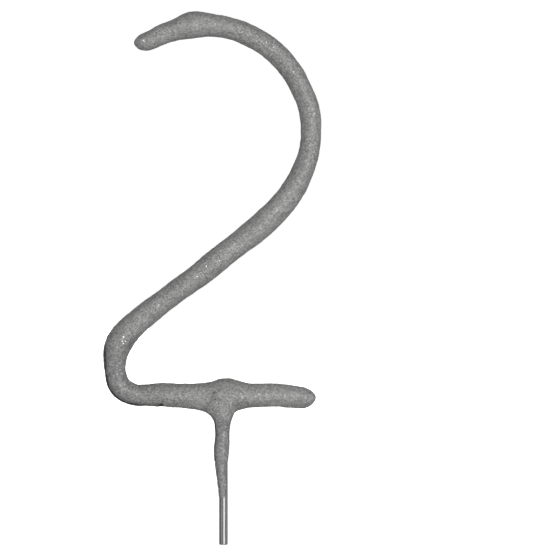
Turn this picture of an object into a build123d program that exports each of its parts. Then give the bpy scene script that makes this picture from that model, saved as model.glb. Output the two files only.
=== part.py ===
"""Number sparkler in the shape of a figure 2, on a wire stem.

Two steel wires and two dipped layers of composition. Lengths are in millimetres and turns in degrees.
X runs to the right and Z up along the stem, as the figure is read. The reader is on the -Y side.
The origin is the centre of the stem's cut end.
"""

import os
from math import cos, radians, sin

from build123d import *

os.makedirs("parts", exist_ok=True)

# Wire
wire_d = 1.95
cut_chamfer = 0.1

# Figure: its wire runs from the foot's right end, round the heel, up the slope and over the bowl
foot_height = 33.8
foot_right = 17.5
foot_left = 18.65
heel_radius = 6.1
heel_turn = 86
instep_radius = 12.8
instep_turn = 56.8
slope_length = 31.5
shoulder_radius = 47.0
shoulder_turn = 18.2
bowl_radius = 24.0
bowl_turn = 148.7
tip_length = 3.6

# Stem: bare at the bottom, set forward a little inside the coat, then hooked over the foot
bare_stem = 10.0
set_angle = 3.5
set_bend_radius = 30.0
hook_leg = 5.8
hook_turn = 25
hook_gap = 0.1
hook_tail = 1.2

# Coat: each dip's thickness on the figure and over the hook, and where it thins out on the stem
first_dip = 0.85
second_dip = 0.90
first_dip_on_hook = 0.40
second_dip_on_hook = 0.35
thinnest_dip = 0.07
second_dip_edge = 19.1
foot_drip = 1.8
tip_drip = 1.4
knot_reach = 6.1

# The second dip's girth along the figure, from the foot's right end to the tip of the bowl:
# (share of the route's length, share of the coat's radius)
figure_girth_shares = (
    (0.000, 0.65),
    (0.010, 0.86),
    (0.030, 0.95),
    (0.055, 1.00),
    (0.085, 1.00),
    (0.120, 1.00),
    (0.155, 1.00),
    (0.190, 1.00),
    (0.222, 0.89),
    (0.245, 0.93),
    (0.270, 0.89),
    (0.297, 1.14),
    (0.315, 1.18),
    (0.340, 1.06),
    (0.400, 0.96),
    (0.475, 1.03),
    (0.505, 1.00),
    (0.550, 1.08),
    (0.610, 0.98),
    (0.660, 0.87),
    (0.720, 0.88),
    (0.820, 0.93),
    (0.885, 0.91),
    (0.908, 0.99),
    (0.927, 1.20),
    (0.945, 0.99),
    (0.965, 0.87),
    (0.985, 0.81),
    (1.000, 0.71),
)

# Each dip's reach to the left and right of the stem wire's axis, from the dip's lower edge up to
# the foot: (share of the way up, reach left, reach right). The first dip's reaches are shares of
# its thickness, outside its thin lower edge, and it ends at the size it has over the hook.
# The second dip's are shares of the coat's radius, with its half depth as a fourth share.
first_dip_stem_shares = (
    (0.00, 0.02, 0.00),
    (0.12, 0.22, 0.00),
    (0.24, 0.63, 0.00),
    (0.36, 1.07, 0.02),
    (0.49, 0.94, 0.06),
    (0.62, 0.70, 0.14),
    (0.75, 0.58, 0.26),
    (0.88, 0.48, 0.34),
)
second_dip_stem_shares = (
    (0.00, 0.78, 0.45, 0.60),
    (0.19, 0.79, 0.48, 0.62),
    (0.37, 0.70, 0.50, 0.59),
    (0.53, 0.73, 0.56, 0.62),
    (0.68, 0.84, 0.66, 0.65),
    (0.84, 0.92, 0.74, 0.66),
    (1.00, 1.00, 0.80, 0.66),
)
# The fillet of composition under the foot: (share of the way from the second dip's edge up to
# the foot, reach left, reach right, half depth), the last three as shares of the coat's radius
web_shares = (
    (0.60, 0.70, 0.55, 0.48),
    (0.66, 1.00, 0.77, 0.56),
    (0.71, 1.34, 0.90, 0.62),
    (0.76, 1.85, 1.25, 0.68),
    (0.82, 3.00, 1.80, 0.75),
    (0.90, 3.20, 2.00, 0.80),
)

# Radii and places that follow from the sizes above
wire_r = wire_d / 2
first_r = wire_r + first_dip
coat_r = first_r + second_dip
edge_r = wire_r + thinnest_dip
first_hook_r = wire_r + first_dip_on_hook
hook_pitch = wire_d + hook_gap
hook_radius = hook_pitch / cos(radians(hook_turn))
knot_r = hook_radius + first_hook_r + second_dip_on_hook
set_rise = foot_height - bare_stem - hook_leg
set_straight = (set_rise - 2 * set_bend_radius * sin(radians(set_angle))) / cos(radians(set_angle))
set_forward = 2 * set_bend_radius * (1 - cos(radians(set_angle)))
set_forward += set_straight * sin(radians(set_angle))
figure_y = hook_pitch - set_forward
second_dip_rise = foot_height - second_dip_edge
edge_share = 1 - second_dip_rise / (foot_height - bare_stem)

figure_plane = Plane.XZ.offset(-figure_y)
hook_plane = Plane(
    origin=(0, -set_forward, foot_height),
    x_dir=(sin(radians(hook_turn)), cos(radians(hook_turn)), 0),
    z_dir=(cos(radians(hook_turn)), -sin(radians(hook_turn)), 0),
)


def figure_route(foot_extra, tip_extra):
    """The figure's centre line, made longer at the foot's right end and at the tip of the bowl."""
    with BuildLine(figure_plane) as route:
        foot = Line((foot_right + foot_extra, foot_height), (-foot_left, foot_height))
        heel = JernArc(foot @ 1, foot % 1, radius=heel_radius, arc_size=-heel_turn)
        instep = JernArc(heel @ 1, heel % 1, radius=instep_radius, arc_size=-instep_turn)
        slope = Line(instep @ 1, instep @ 1 + (instep % 1) * slope_length)
        shoulder = JernArc(slope @ 1, slope % 1, radius=shoulder_radius, arc_size=shoulder_turn)
        bowl = JernArc(shoulder @ 1, shoulder % 1, radius=bowl_radius, arc_size=bowl_turn)
        Line(bowl @ 1, bowl @ 1 + (bowl % 1) * (tip_length + tip_extra))
    return route.wires()[0]


wire_route = figure_route(0, 0)
coat_route = figure_route(foot_drip, tip_drip)

with BuildLine(Plane.YZ) as stem_lines:
    bare = Line((0, 0), (0, bare_stem))
    set_start = JernArc(bare @ 1, bare % 1, radius=set_bend_radius, arc_size=set_angle)
    lean = Line(set_start @ 1, set_start @ 1 + (set_start % 1) * set_straight)
    set_end = JernArc(lean @ 1, lean % 1, radius=set_bend_radius, arc_size=-set_angle)
    leg = Line(set_end @ 1, set_end @ 1 + (set_end % 1) * hook_leg)
covered_route = Wire([set_start, lean, set_end, leg])

with BuildLine(hook_plane) as hook_lines:
    hook = CenterArc((hook_radius, 0), hook_radius, 180, -180)
    tail = Line(hook @ 1, hook @ 1 + (hook % 1) * hook_tail)
hook_route = Wire([hook, tail])


def across_figure(route, share):
    """The plane across a route that lies in the figure's plane."""
    return Plane(origin=route @ share, x_dir=(0, 1, 0), z_dir=route % share)


def across_stem(route, share):
    """The plane across the stem wire's route."""
    return Plane(origin=route @ share, x_dir=(1, 0, 0), z_dir=route % share)


def oval_section(plane, left, right, half_depth):
    """An oval, wider than it is deep, that reaches to the left and right of its plane's origin."""
    with BuildSketch(plane) as section:
        with Locations(((right - left) / 2, 0)):
            Ellipse((left + right) / 2, half_depth)
    return section.sketch


def first_dip_section(share, left_share, right_share):
    """A round section of the first dip, share of the way up the covered stem."""
    left = edge_r + left_share * first_dip
    right = edge_r + right_share * first_dip
    with BuildSketch(across_stem(covered_route, share)) as section:
        with Locations(((right - left) / 2, 0)):
            Circle((left + right) / 2)
    return section.sketch


def second_dip_section(share, left_share, right_share, depth_share):
    """A section of the second dip, share of the way from its edge up to the foot."""
    plane = across_stem(covered_route, edge_share + (1 - edge_share) * share)
    return oval_section(plane, left_share * coat_r, right_share * coat_r, depth_share * coat_r)


def web_section(share, left_share, right_share, depth_share):
    """A level section of the fillet under the foot, centred on the figure's plane."""
    plane = Plane((0, figure_y, second_dip_edge + share * second_dip_rise))
    return oval_section(plane, left_share * coat_r, right_share * coat_r, depth_share * coat_r)


# Wire of the figure
with BuildPart() as numeral_wire:
    with BuildSketch(across_figure(wire_route, 0)):
        Circle(wire_r)
    sweep(path=wire_route)
numeral_wire.part.label = "numeral_wire"

# Wire of the stem
with BuildPart() as stem_wire:
    Cylinder(wire_r, bare_stem, align=(Align.CENTER, Align.CENTER, Align.MIN))
    chamfer(stem_wire.edges().sort_by(Axis.Z)[0], cut_chamfer)
    for route in (covered_route, hook_route):
        with BuildSketch(across_stem(route, 0)):
            Circle(wire_r)
        sweep(path=route)
stem_wire.part.label = "stem_wire"

# Outer form of the first dip, still solid
with BuildPart() as first_dip_form:
    # figure, with a round end past each end of its wire
    with BuildSketch(across_figure(wire_route, 0)):
        Circle(first_r)
    sweep(path=wire_route)
    with Locations(across_figure(wire_route, 0).location):
        Sphere(first_r, arc_size2=0, align=Align.NONE)
    with Locations(across_figure(wire_route, 1).location):
        Sphere(first_r, arc_size1=0, align=Align.NONE)
    # stem and hook
    with BuildSketch(across_stem(hook_route, 0)) as hook_start:
        Circle(first_hook_r)
    sweep(path=hook_route)
    stem_sections = [first_dip_section(*shares) for shares in first_dip_stem_shares]
    loft([*stem_sections, hook_start.sketch])
    with Locations(across_stem(hook_route, 1).location):
        Sphere(first_hook_r, arc_size1=0, align=Align.NONE)

# Outer form of the second dip, still solid
with BuildPart() as second_dip_form:
    # figure, thicker and thinner where the composition ran, with round ends
    for share, girth_share in figure_girth_shares:
        with BuildSketch(across_figure(coat_route, share)):
            Circle(coat_r * girth_share)
    sweep(path=coat_route, multisection=True)
    with Locations(across_figure(coat_route, 0).location):
        Sphere(coat_r * figure_girth_shares[0][1], arc_size2=0, align=Align.NONE)
    with Locations(across_figure(coat_route, 1).location):
        Sphere(coat_r * figure_girth_shares[-1][1], arc_size1=0, align=Align.NONE)
    # knot round the hook
    with BuildSketch(figure_plane):
        with Locations((hook_radius * sin(radians(hook_turn)), foot_height)):
            Ellipse(knot_reach, knot_r)
            Rectangle(2 * knot_reach, knot_r, align=(Align.CENTER, Align.MAX), mode=Mode.SUBTRACT)
    revolve(axis=Axis((0, figure_y, foot_height), (1, 0, 0)))
    # stem, and the fillet where it meets the foot
    loft([second_dip_section(*shares) for shares in second_dip_stem_shares])
    loft([web_section(*shares) for shares in web_shares])

# The first dip, with the two wires' room in it
with BuildPart() as first_dip_coat:
    add(first_dip_form.part)
    add(numeral_wire.part, mode=Mode.SUBTRACT)
    add(stem_wire.part, mode=Mode.SUBTRACT)
first_dip_coat.part.label = "first_dip_coat"

# The second dip, with the first dip's room in it
with BuildPart() as second_dip_coat:
    add(second_dip_form.part)
    add(first_dip_form.part, mode=Mode.SUBTRACT)
second_dip_coat.part.label = "second_dip_coat"

for piece in (numeral_wire, stem_wire, first_dip_coat, second_dip_coat):
    export_step(piece.part, f"parts/{piece.part.label}.step")
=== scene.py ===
import bpy
import numpy as np
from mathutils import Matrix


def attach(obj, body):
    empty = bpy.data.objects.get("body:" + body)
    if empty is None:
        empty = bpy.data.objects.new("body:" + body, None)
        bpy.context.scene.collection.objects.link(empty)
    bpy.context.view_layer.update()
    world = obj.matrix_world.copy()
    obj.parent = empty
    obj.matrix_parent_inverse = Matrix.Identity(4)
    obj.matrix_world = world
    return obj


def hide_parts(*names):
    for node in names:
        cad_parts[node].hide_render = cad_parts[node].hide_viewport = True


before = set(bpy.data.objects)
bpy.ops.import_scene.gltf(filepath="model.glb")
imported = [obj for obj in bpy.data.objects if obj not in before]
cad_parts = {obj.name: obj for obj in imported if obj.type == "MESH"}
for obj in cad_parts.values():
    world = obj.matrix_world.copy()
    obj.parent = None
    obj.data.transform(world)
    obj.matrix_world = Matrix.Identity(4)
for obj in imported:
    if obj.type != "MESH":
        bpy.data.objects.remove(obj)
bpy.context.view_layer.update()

# Wires. Two lengths of bright drawn steel wire: one is bent to the figure, and the other is the
# stem, which is cut square at the bottom, set forward a little and hooked over the figure's foot.
# Only the stem's end is bare, so the figure's wire keeps the shape it has in the model.
mm = 0.001
wire_radius = 0.975
cut_edge = 0.1
bare_stem = 10.0
foot_height = 33.8
set_angle = np.radians(3.5)
set_bend_radius = 30.0
hook_leg = 5.8
hook_turn = np.radians(25)
hook_radius = 2.05 / np.cos(hook_turn)
hook_tail = 1.2
wire_step = 0.12
wire_round = 64
die_lines = (9000, 9000, 160)
wire_dark = (0.155, 0.155, 0.153, 1)
wire_light = (0.28, 0.28, 0.276, 1)
set_rise = foot_height - bare_stem - hook_leg
set_straight = (set_rise - 2 * set_bend_radius * np.sin(set_angle)) / np.cos(set_angle)


class Value:
    """The output of a node. Arithmetic on it, with another output or a number, adds Math nodes."""

    def __init__(self, finish, socket):
        self.finish, self.socket = finish, socket

    def work(self, operation, *values):
        return self.finish.node("Math", {"operation": operation}, dict(enumerate(values)))

    def __add__(self, other):
        return self.work("ADD", self, other)

    def __radd__(self, other):
        return self.work("ADD", other, self)

    def __sub__(self, other):
        return self.work("SUBTRACT", self, other)

    def __rsub__(self, other):
        return self.work("SUBTRACT", other, self)

    def __mul__(self, other):
        return self.work("MULTIPLY", self, other)

    def __rmul__(self, other):
        return self.work("MULTIPLY", other, self)

    def above(self, other):
        return self.work("GREATER_THAN", self, other)


class Finish:
    """A material built from nodes, with one Principled shader."""

    def __init__(self, name, **settings):
        self.material = bpy.data.materials.new(name)
        self.material.use_nodes = True
        self.tree = self.material.node_tree
        self.shader = self.tree.nodes["Principled BSDF"]
        self.set(**settings)

    def node(self, kind, settings=None, inputs=None, output=0):
        """A new node: its settings or ramp stops first, then its inputs' numbers or links."""
        made = self.tree.nodes.new("ShaderNode" + kind)
        for setting, value in (settings or {}).items():
            if setting == "stops":
                for stop, (place, grey) in zip(made.color_ramp.elements, value):
                    stop.position, stop.color = place, (grey, grey, grey, 1)
            else:
                setattr(made, setting, value)
        for socket, value in (inputs or {}).items():
            self.feed(made.inputs[socket], value)
        return Value(self, made.outputs[output])

    def noise(self, place, scale, detail, roughness=0.5):
        inputs = {"Vector": place, "Scale": scale, "Detail": detail, "Roughness": roughness}
        return self.node("TexNoise", None, inputs)

    def mix(self, share, one, other):
        return self.node("Mix", {"data_type": "RGBA"}, {0: share, 6: one, 7: other}, output=2)

    def feed(self, socket, value):
        """Links another node's output to a socket, or sets the socket to a value."""
        if isinstance(value, Value):
            self.tree.links.new(value.socket, socket)
        else:
            socket.default_value = value

    def set(self, **inputs):
        for socket, value in inputs.items():
            self.feed(self.shader.inputs[socket.replace("_", " ")], value)


def stem_route():
    """The middle of the stem wire, as rows of x, y, z in millimetres.

    Its heading, seen from the side, is a straight-line function of the length along it: upright,
    turned forward through the set angle, and upright again. y and z are that heading's sine and
    cosine added up. The hook is a half circle in the upright plane that the hook's turn gives."""
    bend = set_bend_radius * set_angle
    stops = np.cumsum([0, bare_stem, bend, set_straight, bend, hook_leg])
    along = np.arange(0, stops[-1], wire_step)
    heading = np.interp(along + wire_step / 2, stops, set_angle * np.array([0, 0, 1, 1, 0, 0]))
    forward = np.r_[0, -np.cumsum(np.sin(heading[:-1])) * wire_step]
    rise = np.r_[0, np.cumsum(np.cos(heading[:-1])) * wire_step]
    stem = np.stack([0 * along, forward, rise], axis=1)
    outward = np.array([np.sin(hook_turn), np.cos(hook_turn), 0])
    turn = np.linspace(0, np.pi, int(np.pi * hook_radius / wire_step))[:, None]
    middle = np.array([0, forward[-1], foot_height]) + hook_radius * outward
    hook = middle + hook_radius * ([0, 0, 1] * np.sin(turn) - outward * np.cos(turn))
    drop = np.arange(wire_step, hook_tail, wire_step)[:, None]
    return np.concatenate([stem, hook, hook[-1] - [0, 0, 1] * drop])


def lengths_along(route):
    """The distance from a route's start to each of its points."""
    return np.linalg.norm(np.diff(route, axis=0, prepend=route[:1]), axis=1).cumsum()


def carry(route, across, radius):
    """A profile carried along a route: each point is the route's point, plus the radius times
    the cosine of its angle to one side, plus the radius times its sine to the other. The first
    side is the part of `across` that is square to the route, and the radius has a value for each
    place along the route and each angle."""
    heading = np.gradient(route, axis=0)
    heading /= np.linalg.norm(heading, axis=1, keepdims=True)
    side = across - heading * (heading @ across)[:, None]
    side /= np.linalg.norm(side, axis=1, keepdims=True)
    other = np.cross(heading, side)
    angle = np.linspace(0, 2 * np.pi, radius.shape[1], endpoint=False)[None, :, None]
    spoke = side[:, None] * np.cos(angle) + other[:, None] * np.sin(angle)
    return route[:, None] + spoke * radius[:, :, None]


def place(name, mesh):
    """A new object in the scene, at the origin, that has this mesh."""
    piece = bpy.data.objects.new(name, mesh)
    bpy.context.collection.objects.link(piece)
    return piece


def skin(name, *grids):
    """A mesh of closed shells, one for each grid of rings, in metres. Four neighbours make a face,
    each ring's last point joins its first, and a pole in the middle of each end ring closes it."""
    points, faces, start = [], [], 0
    for grid in grids:
        rings, places, _ = grid.shape
        here = start + np.arange(rings * places).reshape(rings, places)
        beside = np.roll(here, -1, axis=1)
        poles = start + here.size + np.arange(2)
        shell = np.stack([here[:-1], beside[:-1], beside[1:], here[1:]], axis=2).reshape(-1, 4)
        first = np.stack([beside[0], here[0], 0 * here[0] + poles[0]], axis=1)
        last = np.stack([here[-1], beside[-1], 0 * here[0] + poles[1]], axis=1)
        spots = np.concatenate([grid.reshape(-1, 3), grid[[0, -1]].mean(axis=1)])
        corner = [spots[shell[:, k] - start] for k in range(3)]
        inward = np.einsum("ij,ij->", corner[0], np.cross(corner[1], corner[2])) < 0
        turn = -1 if inward else 1
        faces += [row[::turn] for table in (shell, first, last) for row in table.tolist()]
        points.append(spots)
        start += len(spots)
    mesh = bpy.data.meshes.new(name)
    mesh.from_pydata(np.concatenate(points) * mm, [], faces)
    mesh.shade_smooth()
    return place(name, mesh)


def drawn_steel():
    """Bright drawn wire: long fine die lines, a little uneven in colour and in gloss."""
    finish = Finish("drawn_steel", Metallic=0.7)
    spot = finish.node("TexCoord", output="Object")
    stretched = finish.node("Mapping", None, {"Vector": spot, "Scale": die_lines})
    lines = finish.noise(stretched, 1.0, 3.0)
    patches = finish.noise(spot, 700.0, 4.0)
    shade = finish.mix(0.55 * lines + 0.45 * patches, wire_dark, wire_light)
    bump = finish.node("Bump", None, {"Strength": 0.25, "Distance": 0.02 * mm, "Height": lines})
    finish.set(Base_Color=shade, Roughness=0.18 + 0.14 * patches, Normal=bump)
    return finish.material


def dress(piece, material):
    piece.data.materials.clear()
    piece.data.materials.append(material)


steel = drawn_steel()
dress(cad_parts["numeral_wire"], steel)

wire_route = stem_route()
broken_edge = np.clip(cut_edge - lengths_along(wire_route), 0, None)
hook_side = np.array([np.cos(hook_turn), -np.sin(hook_turn), 0])
stem_skin = carry(wire_route, hook_side, (wire_radius - broken_edge)[:, None] * np.ones(wire_round))
stem = skin("stem", stem_skin)
dress(stem, steel)
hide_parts("stem_wire")
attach(stem, "root")

# First dip. The figure is dipped in a wet mix of composition, and what runs off it dries as a thin
# skin down the left of the stem wire. The rest of it is under the second dip. Its rows are the
# height, and the reach to the left and to the right of the wire's middle.
run_down = np.array([
    (9.9, 0.88, 0.72), (10.4, 0.93, 0.74), (10.9, 1.06, 0.84), (12.0, 1.15, 0.84),
    (12.8, 1.20, 0.84), (13.6, 1.37, 0.83), (14.5, 1.42, 0.82), (16.4, 1.68, 0.83),
    (18.2, 1.88, 0.90), (20.0, 1.92, 1.05), (22.5, 1.78, 1.12), (25.4, 1.58, 1.20),
    (28.0, 1.48, 1.28), (32.0, 1.37, 1.35),
])
run_down_depth = 0.11
run_down_step = 0.1
# How uneven the run-down is: share of its thickness, length, seed
run_down_lumps = ((0.016, 2.2, 11), (0.013, 0.8, 12))
run_down_round = 72
first_dip_radius = 1.80
first_dip_taper = 1.8
first_dip_round = 32
first_dip_dark = (0.16, 0.16, 0.158, 1)
first_dip_light = (0.39, 0.39, 0.385, 1)
first_dip_grain = 0.26
coat_route_y = 1.061
# The middle and the radius of the coat, from the foot's right end to the tip: x, z, radius
coat_stations = np.array([
    (21.03, 33.40, 2.38), (17.57, 33.35, 2.50), (14.12, 33.75, 2.62), (10.65, 33.93, 2.70),
    (7.18, 33.87, 2.74), (3.71, 33.82, 2.75), (0.24, 33.83, 2.75), (-3.23, 33.82, 2.74),
    (-6.70, 33.82, 2.75), (-10.17, 33.84, 2.73), (-13.64, 33.98, 2.72), (-17.11, 33.91, 2.53),
    (-20.56, 34.09, 2.46), (-23.46, 35.90, 2.58), (-24.56, 39.19, 2.43), (-24.62, 42.64, 2.79),
    (-23.61, 45.93, 3.10), (-21.49, 48.67, 2.95), (-18.97, 51.04, 2.79), (-16.29, 53.25, 2.71),
    (-13.52, 55.35, 2.58), (-10.76, 57.45, 2.58), (-7.94, 59.48, 2.59), (-5.14, 61.52, 2.74),
    (-2.45, 63.71, 2.80), (0.25, 65.89, 2.76), (2.98, 68.03, 2.73), (5.76, 70.12, 2.85),
    (8.43, 72.32, 2.92), (10.95, 74.72, 2.88), (13.35, 77.21, 2.82), (15.44, 79.98, 2.72),
    (17.16, 82.99, 2.59), (18.54, 86.17, 2.45), (19.50, 89.50, 2.32), (19.87, 92.95, 2.31),
    (19.80, 96.42, 2.36), (19.17, 99.82, 2.38), (17.88, 103.04, 2.37), (16.31, 106.13, 2.43),
    (14.32, 108.98, 2.44), (11.98, 111.53, 2.51), (9.25, 113.68, 2.49), (6.25, 115.40, 2.51),
    (3.05, 116.77, 2.47), (-0.30, 117.62, 2.52), (-3.75, 118.03, 2.72), (-7.19, 117.94, 3.05),
    (-10.54, 116.98, 2.53), (-13.80, 115.86, 2.32), (-16.95, 114.38, 2.10), (-20.35, 113.84, 2.02),
])
coat_places = 1300
# A line of painted shade along the coat's lower left, where it turns away from the light: how far
# the coat faces forward there, in degrees, how wide it is as a share of the coat's radius, how fast
# it comes in where the coat faces left and where it faces down, and its colour
line_lean, line_width = 27.0, 0.16
line_at_left, line_below = 2.25, 1.125
line_on_run_down = 0.5
painted_shade_colour = (0.02, 0.02, 0.02, 1)
# Filings that lie at a coat's surface are pale
filing_share = 0.045
filing_colour = (0.6, 0.6, 0.59, 1)


def through(stations, count):
    """Rows read at even steps off the natural cubic spline through the stations.

    The parameter is the length of the chords. Between two stations h apart, with b the share of h
    passed and a = 1 - b, a value is a v0 + b v1 + ((a^3 - a) m0 + (b^3 - b) m1) h^2 / 6, where the
    second derivatives m come from one set of linear equations and are zero at both ends."""
    chord = np.linalg.norm(np.diff(stations[:, :2], axis=0), axis=1)
    reached = np.r_[0, np.cumsum(chord)]
    slope = np.diff(stations, axis=0) / chord[:, None]
    inner = np.diag(2 * (chord[:-1] + chord[1:])) + np.diag(chord[1:-1], 1) + np.diag(chord[1:-1], -1)
    curve = np.zeros_like(stations)
    curve[1:-1] = np.linalg.solve(inner, 6 * np.diff(slope, axis=0))
    read = np.linspace(0, reached[-1], count)
    first = np.clip(np.searchsorted(reached, read, side="right") - 1, 0, len(chord) - 1)
    h = chord[first][:, None]
    b = (read - reached[first])[:, None] / h
    a = 1 - b
    bow = ((a**3 - a) * curve[first] + (b**3 - b) * curve[first + 1]) * h**2 / 6
    return a * stations[first] + b * stations[first + 1] + bow


def rounded_ends(along, start_round, end_round):
    """1 along the middle of a limb. Over the round at each end it falls to 0 at the pole, as
    (1 - t^2)^0.6, with t the share of the round that is passed."""
    passed = np.maximum(1 - along / start_round, 1 - (along[-1] - along) / end_round)
    return (1 - np.clip(passed, 0, 1) ** 2) ** 0.6


def ripple(points, wave, seed):
    """Uneven waves about `wave` millimetres long, between about -2 and 2: the sum of 40 plane waves
    with random directions, phases and lengths, divided by the root of 20."""
    rng = np.random.default_rng(seed)
    ways = rng.normal(size=(40, 3))
    ways *= (2 * np.pi / wave / rng.uniform(0.75, 1.35, 40) / np.linalg.norm(ways, axis=1))[:, None]
    phases = rng.uniform(0, 2 * np.pi, 40)
    return np.cos(points @ ways.T + phases).sum(axis=-1) / np.sqrt(20)


def uneven(points, *waves):
    """The sum of several ripples, each with its height, length and seed."""
    return sum(height * ripple(points, wave, seed) for height, wave, seed in waves)


def level_rings(z, left, right, half_depth, middle_y, places):
    """A limb of level ovals: x is half of right less left, plus half of their sum times the cosine
    of the angle, y is the middle plus the half depth times its sine, and z is the height."""
    angle = np.linspace(0, 2 * np.pi, places, endpoint=False)[None, :]
    x = (right - left)[:, None] / 2 + (right + left)[:, None] / 2 * np.cos(angle)
    y = middle_y[:, None] + half_depth[:, None] * np.sin(angle)
    return np.stack([x, y, z[:, None] + 0 * angle], axis=2)


def stem_y(z):
    """Where the stem wire's middle is, forward or back, at a height."""
    leg = slice(0, int(foot_height / wire_step))
    return np.interp(z, wire_route[leg, 2], wire_route[leg, 1])


def facing(mesh):
    """The direction in which each point of a mesh faces."""
    normals = np.empty(len(mesh.vertices) * 3, np.float32)
    mesh.vertex_normals.foreach_get("vector", normals)
    return normals.reshape(-1, 3).astype(float)


def painted_shade_line(ways, wander=0.0):
    """How much of the painted shade line each point has, from 0 to 1: the bell curve of how far it
    faces from the line's lean, times a ramp that starts where it faces left or down, away from the light."""
    off_line = ways[:, 1] + np.sin(np.radians(line_lean)) + wander
    lower_left = np.clip(-line_at_left * ways[:, 0] - line_below * ways[:, 2], 0, 1)
    return np.exp(-((off_line / line_width) ** 2)) * lower_left


def mark(mesh, name, values):
    """Keeps a value for each point of a mesh, under a name that its material reads."""
    mesh.attributes.new(name, "FLOAT", "POINT").data.foreach_set("value", values.astype(np.float32))


def dried_mix(name, dark, light, grain):
    """Dried composition: a matt grey paste of fine powder, mottled, pitted and full of small grains,
    of which some are bright metal filings."""
    finish = Finish(name, Specular_IOR_Level=0.3, Coat_Roughness=0.42)
    spot = finish.node("TexCoord", output="Object")
    powder = finish.noise(spot, 4200.0, 3.0, 0.65)
    speckle = finish.noise(spot, 2100.0, 3.0, 0.75)
    mottle = finish.noise(spot, 420.0, 3.0)
    cells = {"Vector": spot, "Scale": 1 / (grain * mm)}
    grains = finish.node("TexVoronoi", None, cells, output="Color")
    kinds = finish.node("SeparateColor", None, {"Color": grains})
    from_grain = finish.node("TexVoronoi", None, cells)
    bright = kinds.above(1 - filing_share)
    tone = 0.25 * powder + 0.2 * kinds + 0.4 * speckle + 0.15 * mottle
    spread = finish.node("ValToRGB", {"stops": [(0.37, 0.0), (0.62, 1.0)]}, {"Fac": tone})
    # Points marked pale are made paler or darker: partly uneven tone, partly painted highlight and painted
    # shade
    pale = finish.node("Attribute", {"attribute_name": "pale"}, output="Fac")
    paste = finish.mix(0.4 * bright, finish.mix(spread + pale, dark, light), filing_colour)
    # Painted shade: where points are marked dark, the colour goes nearly black and the metal sheen and
    # coat are taken away
    shaded = finish.node("Attribute", {"attribute_name": "dark"}, output="Fac")
    height = 0.4 * powder + 0.8 * speckle - 0.5 * from_grain * (0.3 + kinds)
    bump = finish.node("Bump", None, {"Strength": 1.0, "Distance": 0.17 * mm, "Height": height})
    finish.set(Base_Color=finish.mix(shaded, paste, painted_shade_colour),
               Metallic=(0.45 + 0.4 * bright) * (1 - shaded),
               Roughness=0.62 - 0.2 * bright + 0.3 * shaded,
               Coat_Weight=0.4 - 0.4 * shaded, Normal=bump)
    return finish.material


coat_rows = through(coat_stations, coat_places)
coat_route = np.stack([coat_rows[:, 0], 0 * coat_rows[:, 0] + coat_route_y, coat_rows[:, 1]], axis=1)
along_coat = lengths_along(coat_route)
towards_back = np.array([0.0, 1.0, 0.0])

# On the figure the first dip stops short of the second's ends
within = slice(20, -16, 4)
first_along = along_coat[within] - along_coat[within.start]
first_reach = first_dip_radius * rounded_ends(first_along, first_dip_taper, first_dip_taper)
first_on_figure = carry(coat_route[within], towards_back, first_reach[:, None] * np.ones(first_dip_round))
heights = np.arange(run_down[0, 0], run_down[-1, 0], run_down_step)
left, right = (np.interp(heights, run_down[:, 0], run_down[:, k]) for k in (1, 2))
half_depth = (left + right) / 2 + run_down_depth
first_on_stem = level_rings(heights, left, right, half_depth, stem_y(heights), run_down_round)
hub = np.stack([(right - left) / 2, stem_y(heights), heights], axis=1)[:, None]
swell = 1 + uneven(first_on_stem, *run_down_lumps)
first_on_stem = hub + (first_on_stem - hub) * swell[:, :, None]
first_dip = skin("first_dip", first_on_figure, first_on_stem)
# Painted shade: the run-down is darkened along its lower left, where it faces away from the light
mark(first_dip.data, "dark", line_on_run_down * painted_shade_line(facing(first_dip.data)))
dress(first_dip, dried_mix("first_dip_mix", first_dip_dark, first_dip_light, first_dip_grain))
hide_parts("first_dip_coat")
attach(first_dip, "root")

# Second dip. The outer coat, thicker where the mix ran and dried: a swelling over the hook, a web
# under the foot, blunt round ends, and a lip where it stops on the stem. It is one skin, made from
# limbs that are joined, smoothed where they meet, and then given the lumps of the dried mix.
foot_round, tip_round = 3.4, 2.9
foot_top = 36.0
figure_round, stem_round = 72, 60
# The swelling over the hook: x, and how far it stands out
knot_top = np.array([
    (-7.0, 0.0), (-5.3, 0.08), (-4.4, 0.14), (-3.5, 0.30), (-2.6, 0.52), (-1.7, 0.84), (-0.8, 1.07),
    (0.2, 1.20), (1.1, 1.24), (2.0, 1.14), (2.9, 0.86), (3.8, 0.60), (4.7, 0.33), (5.6, 0.06), (6.6, 0.0),
])
# The coat on the stem: height, reach left, reach right, half depth
stem_coat = np.array([
    (18.8, 2.06, 1.08, 1.52), (19.5, 2.13, 1.15, 1.60), (20.9, 2.16, 1.25, 1.66),
    (22.7, 2.11, 1.41, 1.70), (24.5, 1.91, 1.36, 1.66), (25.4, 1.84, 1.34, 1.66),
    (26.4, 1.93, 1.47, 1.70), (27.3, 2.02, 1.59, 1.74), (28.2, 2.22, 1.85, 1.78),
    (29.1, 2.85, 2.15, 1.80), (30.0, 3.60, 2.60, 1.82), (31.0, 3.90, 2.80, 1.82), (33.8, 3.60, 2.70, 1.82),
])
# The web that hangs under the foot beside the stem: x, and how far it hangs
web_keel = np.array([
    (-10.9, 0.0), (-9.5, 0.10), (-8.2, 0.22), (-7.5, 0.30), (-6.8, 0.38), (-6.1, 0.52), (-5.4, 0.68),
    (-4.7, 0.88), (-4.0, 1.14), (-3.4, 1.52), (-2.7, 2.0), (1.8, 1.9), (2.4, 1.35), (2.9, 0.95),
    (3.4, 0.68), (4.1, 0.46), (4.8, 0.30), (5.5, 0.14), (6.8, 0.05), (8.0, 0.0),
])
# The lip on the stem: the radius of its round, and its height
lip = 0.35
lip_height = 18.84
grid_step = 0.24
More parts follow.
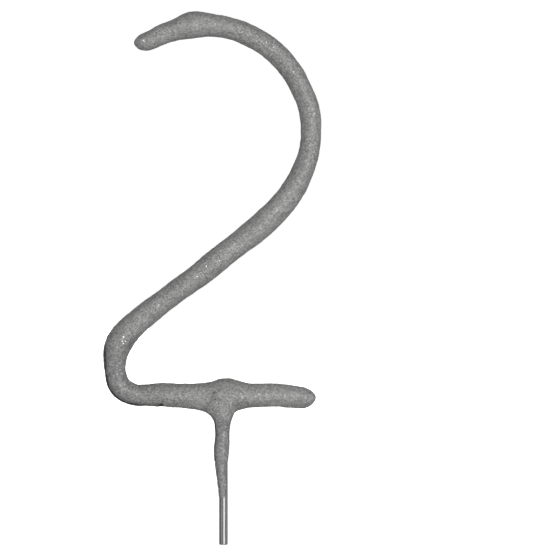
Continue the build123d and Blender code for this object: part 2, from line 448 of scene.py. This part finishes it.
# Where the foot and the stem join: x and z of the middle, the reach of the smoothing, its least
# share elsewhere, its rounds, and what makes up for the thickness that it takes
join_middle, join_reach = (0.3, 30.8), (8.5, 5.0)
least_smoothing, smoothing_rounds = 0.12, 40
outward = 0.028
# The lumps of the dried mix: height, length, seed
lumps = ((0.018, 4.0, 1), (0.016, 1.7, 2), (0.010, 0.75, 3))
# The line of painted shade runs down the heel from line_top, and is fainter right of faint_from.
# Right of line_right it is only on the stem, below web_foot. Each of these but line_right has a fade.
line_top, faint_from, web_foot, line_right = 45.7, -20.0, 29.8, -13.6
top_fade, faint_fade, web_fade = 1.5, 3.0, 0.5
line_on_stem = 0.8
line_depth = 0.10
# How the line wanders to its sides, and how it breaks up: amount, length, seed
line_wander, line_breaks = (0.04, 6.0, 4), (0.3, 1.6, 5)
# Pits in the front, sunk in and painted dark as shade: x, z, width, depth
pits = (
    (-14.45, 31.35, 0.36, 0.34), (-14.05, 31.5, 0.32, 0.30), (-2.05, 34.5, 0.20, 0.16),
    (-1.8, 33.0, 0.19, 0.16), (-0.75, 32.9, 0.16, 0.12), (-20.5, 35.6, 0.16, 0.12),
)
# Where the dried coat is made paler or darker than elsewhere, partly its own uneven tone and partly
# painted highlight and painted shade: x, z, reach, how much
tone_and_light_spots = (
    (-23.8, 39.0, 9.0, -0.22), (0.6, 26.5, 4.8, -0.29), (12.0, 33.6, 5.0, 0.12),
    (5.2, 71.8, 9.0, 0.12), (-7.5, 119.0, 9.0, 0.10), (16.0, 110.0, 7.0, -0.10),
    (-4.8, 31.0, 2.5, 0.14), (21.5, 87.0, 8.0, -0.10),
)
second_dip_dark = (0.18, 0.18, 0.178, 1)
second_dip_light = (0.43, 0.43, 0.425, 1)
second_dip_grain = 0.3


def fused(name, *grids):
    """One closed skin round the outside of several limbs: its mesh, and its points in
    millimetres."""
    rough = skin(name, *grids)
    remesh = rough.modifiers.new("fuse", "REMESH")
    remesh.mode, remesh.voxel_size = "VOXEL", grid_step * mm
    whole = bpy.data.meshes.new_from_object(rough.evaluated_get(bpy.context.evaluated_depsgraph_get()))
    bpy.data.objects.remove(rough)
    points = np.empty(len(whole.vertices) * 3, np.float32)
    whole.vertices.foreach_get("co", points)
    return whole, points.reshape(-1, 3).astype(float) / mm


def relax(mesh, points, share, rounds):
    """Points moved towards the mean of their neighbours, by a share that each point has, and then
    outwards again by the same move with a little more weight, so that the limbs don't shrink."""
    pairs = np.empty(len(mesh.edges) * 2, np.int32)
    mesh.edges.foreach_get("vertices", pairs)
    one, two = pairs.reshape(-1, 2).T
    ends = np.r_[one, two]
    count = np.bincount(ends, minlength=len(points))[:, None]
    for weight in [0.5, -0.51] * rounds:
        others = np.concatenate([points[two], points[one]])
        mean = np.stack([np.bincount(ends, others[:, k], len(points)) for k in range(3)], axis=1) / count
        points = points + weight * share[:, None] * (mean - points)
    return points


def move_points(mesh, points):
    mesh.vertices.foreach_set("co", (points * mm).astype(np.float32).ravel())
    mesh.update()


def soft_spots(places, spots):
    """The sum of soft round spots, each with its x, z, reach and strength: at a distance d from its
    middle, a spot is its strength times exp(-(d / reach)^2)."""
    gaps = [np.linalg.norm(places - spot[:2], axis=1) / spot[2] for spot in spots]
    return sum(spot[3] * np.exp(-(gap**2)) for spot, gap in zip(spots, gaps))


def across_foot(rows):
    """The second column of a table, read at each place on the foot, and 0 elsewhere."""
    on_foot = coat_rows[:, 1] < foot_top
    return np.where(on_foot, np.interp(coat_rows[:, 0], rows[:, 0], rows[:, 1]), 0)[:, None]


# The web hangs from the underside alone, and the swelling is on the rest, highest at the top
downward = np.sin(np.linspace(0, 2 * np.pi, figure_round, endpoint=False))
under_foot = np.clip(downward, 0, 1) ** 1.5
over_foot = (0.84 + 0.16 * np.clip(-downward, 0, 1) ** 2) * (1 - under_foot)
coat_radius = (coat_rows[:, 2] * rounded_ends(along_coat, foot_round, tip_round))[:, None]
coat_radius = coat_radius + across_foot(knot_top) * over_foot + across_foot(web_keel) * under_foot
figure_limb = carry(coat_route, towards_back, coat_radius)

lip_turn = 1 - np.cos(np.linspace(0, np.pi / 2, 8))
stem_heights = np.r_[lip_height + lip * lip_turn, np.arange(19.3, 33.5, 0.15)]
left, right, depth = (np.interp(stem_heights, stem_coat[:, 0], stem_coat[:, k]) for k in (1, 2, 3))
lip_left = 1 - np.clip((stem_heights - lip_height) / lip, 0, 1)
lip_in = lip * (1 - np.sqrt(1 - lip_left**2))
stem_limb = level_rings(stem_heights, left - lip_in, right - lip_in, depth - lip_in,
                        stem_y(stem_heights), stem_round)

coat_mesh, coat = fused("second_dip_limbs", figure_limb, stem_limb)
from_join = (coat[:, ::2] - join_middle) / join_reach
by_the_join = np.exp(-(from_join[:, 0] ** 2 + from_join[:, 1] ** 4))
smoothing = least_smoothing + (1 - least_smoothing) * by_the_join
coat = relax(coat_mesh, coat, smoothing, smoothing_rounds)
move_points(coat_mesh, coat)

ways = facing(coat_mesh)
x, _, z = coat.T
# Painted shade: a dark line where the coat faces left or down, away from the light, also sunk in as a
# shallow groove
below_top = np.clip((line_top - z) / top_fade, 0, 1)
on_heel = below_top * (1 - 0.5 * np.clip((x - faint_from) / faint_fade, 0, 1))
on_stem = line_on_stem * np.clip((web_foot - z) / web_fade, 0, 1)
line = painted_shade_line(ways, uneven(coat, line_wander)) * np.where(x < line_right, on_heel, on_stem)
line = line * np.clip(1 + uneven(coat, line_breaks), 0, 1)
in_front = ways[:, 1] < 0
# Painted shade in the pits: they are darkened as well as sunk in
pitted = in_front * soft_spots(coat[:, ::2], [(*pit[:3], 1.0) for pit in pits])
sunk = line_depth * line + in_front * soft_spots(coat[:, ::2], pits)
raised = outward + uneven(coat, *lumps)
coat = coat + ways * (raised - sunk)[:, None]
move_points(coat_mesh, coat)
# Painted shade: the dark line down the lower left and the dark pits
mark(coat_mesh, "dark", np.clip(line + pitted, 0, 1))
# Partly uneven tone, partly painted highlight and painted shade: spots where the coat is made paler or
# darker
mark(coat_mesh, "pale", soft_spots(coat[:, ::2], tone_and_light_spots))
coat_mesh.shade_smooth()
second_dip = place("second_dip", coat_mesh)
dress(second_dip, dried_mix("second_dip_mix", second_dip_dark, second_dip_light, second_dip_grain))
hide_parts("second_dip_coat")
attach(second_dip, "root")

# Filings. Coarse metal filings are stirred into the mix. Those that lie at the surface of the dried
# coats show as small angular flakes, sunk in to about half their depth, some bright and some dull.
flakes_on_figure, flakes_on_stem = 1500, 28
least_flake, largest_flake = 0.045, 0.10
# The coarsest, thin plates that lie flat in the front and catch the light: x, z, size. They are
# put where the coat faces forward by front_facing or more.
coarse = np.array([
    (-22.68, 47.2, 0.16), (-22.9, 46.1, 0.13), (-22.65, 45.6, 0.13), (-22.2, 46.1, 0.11),
    (-14.7, 54.3, 0.16), (-5.9, 60.9, 0.15), (-3.85, 63.1, 0.17), (-0.9, 64.5, 0.12),
    (13.9, 78.1, 0.13), (20.6, 97.9, 0.15), (9.6, 113.9, 0.17), (-1.8, 118.1, 0.14),
    (-18.1, 114.4, 0.13), (-1.35, 34.4, 0.14), (4.3, 33.7, 0.13), (7.3, 33.6, 0.12),
])
coarse_facing = np.array([0.165, -0.985, 0.044])
front_facing = 0.3
flake_tones = [(0.38, 0.16), (0.62, 0.62)]


def flakes(name, points, ways, size, flat, seed):
    """Closed flakes at the points. A flake has six corners round its middle, one above and one
    below, all out by uneven amounts. A chip, with flat 0, faces the way given for it but for a
    random tilt, and is sunk in. A plate, with flat 1, is thin and clean, isn't tilted, and stands
    out."""
    rng = np.random.default_rng(seed)
    count, size, flat = len(points), size[:, None, None], flat[:, None, None]
    turn = np.arange(6) * np.pi / 3
    corners = np.r_[np.stack([np.cos(turn), np.sin(turn), 0 * turn], axis=1), [[0, 0, 0.7], [0, 0, -0.7]]]
    grown = corners * size * rng.uniform(0.7, 1.2, (count, 8, 1)) * rng.uniform(0.7, 1.3, (count, 1, 3))
    grown[:, :, 2:] *= 1 - 0.85 * flat
    out = ways + 0.3 * (1 - flat[:, 0]) * rng.normal(size=(count, 3))
    out /= np.linalg.norm(out, axis=1, keepdims=True)
    side = np.cross(out, rng.normal(size=(count, 3)))
    side /= np.linalg.norm(side, axis=1, keepdims=True)
    axes = np.stack([side, np.cross(out, side), out], axis=1)
    spots = points[:, None] + (0.5 * flat - 0.2) * size * ways[:, None] + grown @ axes
    here = np.arange(6)
    beside = np.roll(here, -1)
    top, bottom = 0 * here + 6, 0 * here + 7
    shell = np.r_[np.stack([here, beside, top], axis=1), np.stack([beside, here, bottom], axis=1)]
    faces = (shell[None] + 8 * np.arange(count)[:, None, None]).reshape(-1, 3)
    mesh = bpy.data.meshes.new(name)
    mesh.from_pydata(spots.reshape(-1, 3) * mm, [], faces.tolist())
    mark(mesh, "clean", np.repeat(flat.ravel(), 8))
    return place(name, mesh)


def filed_metal():
    """Chips of iron and of lighter metal, each with its own tone and gloss, a little oxidised. The
    plates are the cleanest."""
    finish = Finish("filed_metal", Metallic=1.0)
    spot = finish.node("TexCoord", output="Object")
    chips = finish.noise(spot, 1400.0, 1.0)
    film = finish.noise(spot, 9000.0, 2.0)
    clean = finish.node("Attribute", {"attribute_name": "clean"}, output="Fac")
    bright = 0.7 * chips + 0.3 * film + clean
    tones = finish.node("ValToRGB", {"stops": flake_tones}, {"Fac": bright})
    finish.set(Base_Color=tones, Roughness=0.3 + 0.3 * film)
    return finish.material


def drawn(points, ways, count, seed):
    """Points drawn at random, the ways they face, and the sizes of chips there. A size is the least
    times a power of the largest over the least, and that power is even from 0 to 1."""
    rng = np.random.default_rng(seed)
    chosen = rng.choice(len(points), count, replace=False)
    size = least_flake * (largest_flake / least_flake) ** rng.uniform(0, 1, count)
    return points[chosen], ways[chosen], size, np.zeros(count)


ways = facing(coat_mesh)
front = np.flatnonzero(ways[:, 1] <= -front_facing)
off_spot = np.linalg.norm(coat[front, ::2] - coarse[:, None, :2], axis=2)
nearest = front[off_spot.argmin(axis=1)]
flat = np.ones(len(coarse))
coarsest = coat[nearest], coarse_facing * flat[:, None], coarse[:, 2], flat
every = [np.concatenate(pair) for pair in zip(drawn(coat, ways, flakes_on_figure, 20), coarsest)]
filings = flakes("second_dip_filings", *every, 21)
# The rings of the run-down that show below the second dip's lip
below_lip = slice(10, 90)
from_hub = (first_on_stem - hub)[below_lip].reshape(-1, 3)
from_hub /= np.linalg.norm(from_hub, axis=1, keepdims=True)
on_run_down = drawn(first_on_stem[below_lip].reshape(-1, 3), from_hub, flakes_on_stem, 22)
stem_filings = flakes("first_dip_filings", *on_run_down, 23)
metal = filed_metal()
for piece, dip in ((filings, "second_dip"), (stem_filings, "first_dip")):
    dress(piece, metal)
    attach(piece, "root")

# Stage. A pale floor that curves up into a wall all round, a soft light to the right of the camera,
# weaker ones at the side, to the left, from below and behind, and the camera square to the figure,
# far off with a long lens.
floor_hub, floor_flat, wall_round, wall_far, wall_top = 0.02, 1.2, 0.8, 2.0, 4.0
floor_gap = 0.2 * mm
floor_round, bend_places = 96, 24
aim = np.array([0.0, 0.0, 0.06])
picture_width = 0.1246
picture_middle = (0.01159, 0.0613)
camera_far = 1.1
# The lights: azimuth, elevation, how far off in metres, size in metres, power in watts
lights = {
    "key_light": (19, 5, 0.9, 0.6, 6.6),
    "side_light": (80, 5, 0.9, 0.55, 1.0),
    "fill_light": (-50, 6, 1.2, 0.9, 2.3),
    "bounce_light": (-10, -55, 0.9, 0.9, 0.8),
    "back_light": (180, 10, 1.4, 0.6, 6.0),
}
surrounding_light = 0.25


def dish():
    """A round floor that turns up into a wall: a line out, a quarter circle and a line up, turned
    round the upright axis."""
    turn = np.linspace(0, np.pi / 2, bend_places)
    out = np.r_[floor_hub, floor_flat + wall_round * np.sin(turn), wall_far]
    up = np.r_[0.0, wall_round - wall_round * np.cos(turn), wall_top] - floor_gap
    circle = np.linspace(0, 2 * np.pi, floor_round, endpoint=False)[None]
    spread = out[:, None, None] * np.stack([np.cos(circle), np.sin(circle)], axis=2)
    points = np.concatenate([spread, up[:, None, None] + 0 * spread[:, :, :1]], axis=2)
    here = np.arange(out.size * floor_round).reshape(-1, floor_round)
    beside = np.roll(here, -1, axis=1)
    faces = np.stack([here[1:], beside[1:], beside[:-1], here[:-1]], axis=2).reshape(-1, 4)
    mesh = bpy.data.meshes.new("floor")
    mesh.from_pydata(points.reshape(-1, 3), [], [here[0].tolist(), *faces.tolist()])
    mesh.shade_smooth()
    return place("floor", mesh)


floor = dish()
paper = Finish("floor_paper", Base_Color=(0.9, 0.9, 0.9, 1), Roughness=0.9, Specular_IOR_Level=0.1,
               Emission_Color=(1, 1, 1, 1), Emission_Strength=0.74)
dress(floor, paper.material)
floor.visible_diffuse = False
floor.visible_glossy = False
floor.visible_shadow = False


def soft_light(name, azimuth, elevation, far, size, power):
    """A square soft box aimed at the middle of the figure. Azimuth 0 is behind the camera."""
    azimuth, elevation = np.radians([azimuth, elevation])
    level = np.array([np.sin(azimuth), -np.cos(azimuth), 0])
    light = bpy.data.lights.new(name, "AREA")
    light.shape, light.size, light.energy = "SQUARE", size, power
    lamp = place(name, light)
    lamp.location = aim + far * (level * np.cos(elevation) + [0, 0, np.sin(elevation)])
    lamp.rotation_euler = (np.pi / 2 - elevation, 0, azimuth)


for name, light in lights.items():
    soft_light(name, *light)

world = bpy.data.worlds.new("studio")
bpy.context.scene.world = world
world.use_nodes = True
surroundings = world.node_tree.nodes["Background"]
surroundings.inputs["Color"].default_value = (1, 1, 1, 1)
surroundings.inputs["Strength"].default_value = surrounding_light

lens = bpy.data.cameras.new("camera")
lens.sensor_width = 36
lens.lens = lens.sensor_width * camera_far / picture_width
camera = place("camera", lens)
camera.location = (picture_middle[0], -camera_far, picture_middle[1])
camera.rotation_euler = (np.pi / 2, 0, 0)
bpy.context.scene.camera = camera
bpy.context.scene.view_settings.view_transform = "Standard"
